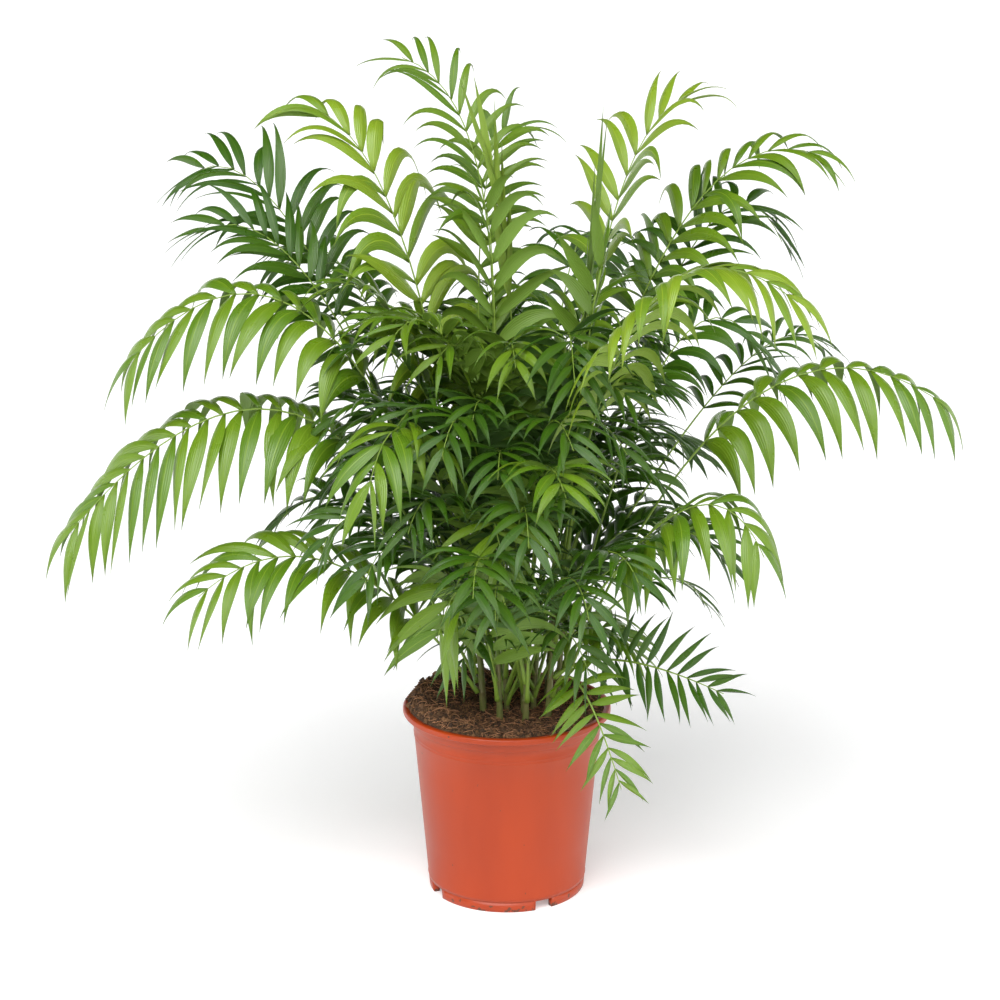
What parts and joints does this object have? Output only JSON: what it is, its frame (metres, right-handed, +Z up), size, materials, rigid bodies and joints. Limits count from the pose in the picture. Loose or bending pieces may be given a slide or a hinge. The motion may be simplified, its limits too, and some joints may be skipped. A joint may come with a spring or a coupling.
{
  "type": "potted parlour palm",
  "caption": "Bushy indoor parlour palm with arching feathery green fronds rising from a clump of slim canes in a round tapered plastic nursery pot of dark soil.",
  "frame": {"origin": "middle of the pot's flat underside, on the floor", "axes": "+Z up along the pot's axis, -Y towards the side that the plant is shown from, +X to the right of that view"},
  "size_m": [1.0175, 0.6527, 0.9673],
  "materials": {
    "pot": "satin",
    "soil": "matte",
    "stem": "satin",
    "leaf_young": "satin",
    "leaf_mature": "satin",
    "leaf_shade": "satin"
  },
  "bodies": {
    "root": {"pot": "pot", "soil": "soil", "cane_1": "stem", "cane_2": "stem", "cane_3": "stem", "cane_4": "stem", "cane_5": "stem", "cane_6": "stem", "cane_7": "stem", "cane_8": "stem", "cane_9": "stem", "frond_top_right": "leaf_mature", "frond_right_flat": "leaf_shade", "frond_right_young": "leaf_mature", "frond_right_upper": "leaf_shade", "frond_front_upper": "leaf_shade", "stalk_left_long": "leaf_mature", "frond_left_long": "leaf_mature", "frond_left_top": "leaf_shade", "frond_left_small": "leaf_shade", "frond_left_top_small": "leaf_shade", "stalk_left_mid": "leaf_mature", "frond_left_mid": "leaf_mature", "stalk_right_sweep": "leaf_young", "frond_right_sweep": "leaf_young", "stalk_right_long": "leaf_mature", "frond_right_long": "leaf_mature", "frond_right_hang": "leaf_mature", "frond_left_back_low": "leaf_shade", "frond_right_spear": "leaf_mature", "frond_right_low_back": "leaf_shade", "stalk_left_sweep": "leaf_young", "frond_left_sweep": "leaf_young", "frond_right_back": "leaf_shade", "frond_right_inner": "leaf_shade", "frond_front_centre": "leaf_mature", "stalk_right_top": "leaf_mature", "frond_right_top": "leaf_mature", "frond_top_left": "leaf_mature", "frond_top_spear": "leaf_young", "frond_right_rise": "leaf_young", "frond_front_left": "leaf_mature", "frond_front_lower": "leaf_mature", "frond_front_low": "leaf_mature", "stalk_right_low": "leaf_mature", "frond_right_low": "leaf_mature", "stalk_left_low": "leaf_mature", "frond_left_low": "leaf_mature", "frond_top_front": "leaf_mature", "frond_right_mid": "leaf_shade", "frond_back_1": "leaf_shade", "frond_back_2": "leaf_shade", "frond_back_3": "leaf_shade", "frond_back_4": "leaf_shade", "frond_back_5": "leaf_shade", "shoot_1": "leaf_shade", "shoot_2": "leaf_shade", "shoot_3": "leaf_shade", "shoot_4": "leaf_shade", "shoot_5": "leaf_shade"}
  },
  "joints": []
}
